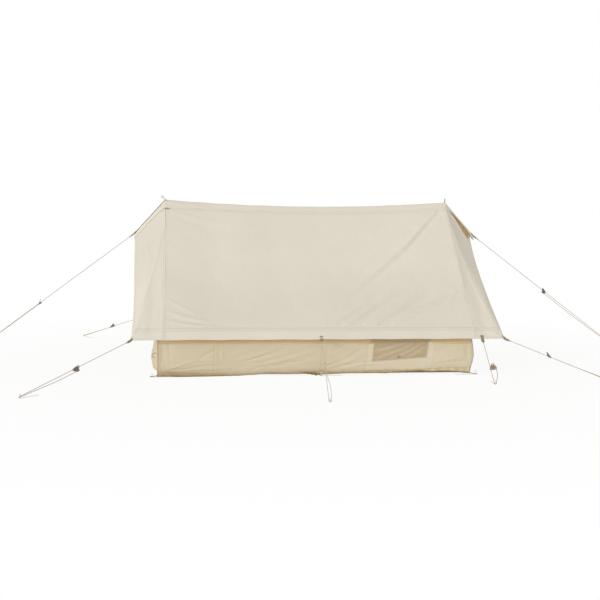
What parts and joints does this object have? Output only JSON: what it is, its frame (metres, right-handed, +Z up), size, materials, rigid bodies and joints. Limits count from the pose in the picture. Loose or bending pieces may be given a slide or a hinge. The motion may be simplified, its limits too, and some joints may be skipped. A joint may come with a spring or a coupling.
{
  "type": "ridge tent",
  "caption": "Cotton ridge tent with low side walls, split doors in both ends, a window in each side, two uprights and guylines with sliding tensioners.",
  "frame": {"origin": "middle of the floor, at the underside of the groundsheet", "axes": "+X along the ridge towards the windows' end, -Y towards the side with the extra guyline, +Z up"},
  "size_m": [6.3656, 4.4862, 1.5332],
  "materials": {
    "canvas": "uncoated cotton canvas, natural white",
    "canvas_cap": "cotton canvas, doubled",
    "canvas_wall": "cotton canvas, warmer and in shade",
    "canvas_door": "cotton canvas, warmer and in shade",
    "vent_net": "open net, brown",
    "window_net": "fine insect net",
    "floor": "coated groundsheet, dark brown",
    "steel": "galvanised tube",
    "foot": "moulded, matt",
    "zip": "worn brass",
    "cord": "laid cotton cord",
    "plate": "moulded, dark brown",
    "peg": "galvanised wire"
  },
  "bodies": {
    "tent": {"roof_near": "canvas", "roof_far": "canvas", "wing_left_near": "canvas", "wing_left_far": "canvas", "wing_right_near": "canvas", "wing_right_far": "canvas", "ridge_cap": "canvas_cap", "side_wall_near": "canvas_wall", "side_wall_far": "canvas_wall", "end_panel_left_near": "canvas_wall", "end_panel_left_far": "canvas_wall", "end_panel_right_near": "canvas_wall", "end_panel_right_far": "canvas_wall", "vent_net_left": "vent_net", "vent_net_right": "vent_net", "window_net_near": "window_net", "window_net_far": "window_net", "groundsheet": "floor", "pole_lower_left": "steel", "pole_lower_right": "steel", "pole_upper_left": "steel", "pole_upper_right": "steel", "pole_foot_left": "foot", "pole_foot_right": "foot", "guyline_tip_left": "cord", "guyline_tip_right": "cord", "guyline_left_near": "cord", "guyline_right_near": "cord", "guyline_left_far": "cord", "guyline_middle_near": "cord", "guyline_side_near": "cord", "peg_tip_left": "peg", "peg_tip_right": "peg", "peg_left_near": "peg", "peg_right_near": "peg", "peg_left_far": "peg", "peg_middle_near": "peg", "peg_side_near": "peg", "wall_peg_left_near": "peg", "wall_peg_left_far": "peg", "wall_peg_middle_near": "peg", "wall_peg_middle_far": "peg", "wall_peg_right_near": "peg", "wall_peg_right_far": "peg"},
    "door_left_near": {"door_left_near": "canvas_door"},
    "door_left_far": {"door_left_far": "canvas_door"},
    "zip_slider_left": {"zip_slider_left": "zip"},
    "door_right_near": {"door_right_near": "canvas_door"},
    "door_right_far": {"door_right_far": "canvas_door"},
    "zip_slider_right": {"zip_slider_right": "zip"},
    "window_flap_near": {"window_flap_near": "canvas_door"},
    "window_flap_far": {"window_flap_far": "canvas_door"},
    "tensioner_tip_left": {"tensioner_tip_left": "plate"},
    "tensioner_tip_right": {"tensioner_tip_right": "plate"},
    "tensioner_left_near": {"tensioner_left_near": "plate"},
    "tensioner_right_near": {"tensioner_right_near": "plate"},
    "tensioner_left_far": {"tensioner_left_far": "plate"},
    "tensioner_middle_near": {"tensioner_middle_near": "plate"},
    "tensioner_side_near": {"tensioner_side_near": "plate"}
  },
  "joints": [
    {"name": "door_left_near_hinge", "type": "hinge", "parent": "tent", "child": "door_left_near", "pos_m": [-1.346, -0.56, 0.012], "axis": [0, 0.4006, 0.9163], "range_deg": [0, 100]},
    {"name": "door_left_far_hinge", "type": "hinge", "parent": "tent", "child": "door_left_far", "pos_m": [-1.346, 0.56, 0.012], "axis": [0, 0.4006, -0.9163], "range_deg": [0, 100]},
    {"name": "zip_slider_left_slide", "type": "slide", "parent": "door_left_near", "child": "zip_slider_left", "axis": [0, 0, 1], "range_m": [0, 1.05]},
    {"name": "door_right_near_hinge", "type": "hinge", "parent": "tent", "child": "door_right_near", "pos_m": [1.346, -0.56, 0.012], "axis": [0, -0.4006, -0.9163], "range_deg": [0, 100]},
    {"name": "door_right_far_hinge", "type": "hinge", "parent": "tent", "child": "door_right_far", "pos_m": [1.346, 0.56, 0.012], "axis": [0, -0.4006, 0.9163], "range_deg": [0, 100]},
    {"name": "zip_slider_right_slide", "type": "slide", "parent": "door_right_near", "child": "zip_slider_right", "axis": [0, 0, 1], "range_m": [0, 1.05]},
    {"name": "window_flap_near_hinge", "type": "hinge", "parent": "tent", "child": "window_flap_near", "pos_m": [0.695, -1.0466, 0.381], "axis": [1, 0, 0], "range_deg": [0, 100]},
    {"name": "window_flap_far_hinge", "type": "hinge", "parent": "tent", "child": "window_flap_far", "pos_m": [0.695, 1.0466, 0.381], "axis": [-1, 0, 0], "range_deg": [0, 100]},
    {"name": "tensioner_tip_left_slide", "type": "slide", "parent": "tent", "child": "tensioner_tip_left", "axis": [-0.8014, 0.0041, -0.5981], "range_m": [0, 0.12]},
    {"name": "tensioner_tip_right_slide", "type": "slide", "parent": "tent", "child": "tensioner_tip_right", "axis": [0.8014, -0.0041, -0.5981], "range_m": [0, 0.12]},
    {"name": "tensioner_left_near_slide", "type": "slide", "parent": "tent", "child": "tensioner_left_near", "axis": [-0.6067, -0.7556, -0.2469], "range_m": [0, 0.12]},
    {"name": "tensioner_right_near_slide", "type": "slide", "parent": "tent", "child": "tensioner_right_near", "axis": [0.5964, -0.7638, -0.2469], "range_m": [0, 0.12]},
    {"name": "tensioner_left_far_slide", "type": "slide", "parent": "tent", "child": "tensioner_left_far", "axis": [-0.5964, 0.7638, -0.2469], "range_m": [0, 0.12]},
    {"name": "tensioner_middle_near_slide", "type": "slide", "parent": "tent", "child": "tensioner_middle_near", "axis": [-0.0815, -0.9689, -0.2338], "range_m": [0, 0.12]},
    {"name": "tensioner_side_near_slide", "type": "slide", "parent": "tent", "child": "tensioner_side_near", "axis": [-0.0824, -0.8634, -0.4977], "range_m": [0, 0.04]}
  ]
}
